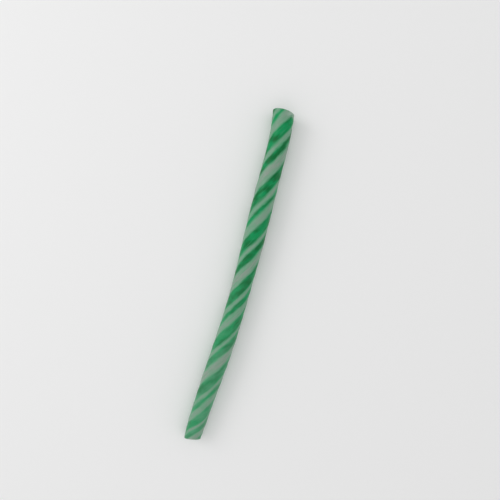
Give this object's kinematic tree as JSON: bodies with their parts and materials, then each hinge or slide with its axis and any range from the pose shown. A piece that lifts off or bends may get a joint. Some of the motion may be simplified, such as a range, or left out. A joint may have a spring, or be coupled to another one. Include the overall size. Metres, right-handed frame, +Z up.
{
  "type": "hard candy stick",
  "caption": "Slim round stick of pulled hard sugar with white and green stripes twisted round it, slightly bent, cut a little aslant at one end and more so at the other.",
  "frame": {"origin": "on the ground under the middle of the stick's length and width; the stick lies on a narrow flat along its underside", "axes": "+Z up; Y along the stick, with the end that stood uppermost in the picture at +Y; the side that showed in the picture faces +Z; +X to its right"},
  "size_m": [0.0106, 0.1276, 0.0076],
  "materials": {
    "pulled_sugar": "satin hard sugar, white and green stripes"
  },
  "bodies": {
    "root": {"candy_stick": "pulled_sugar"}
  },
  "joints": []
}
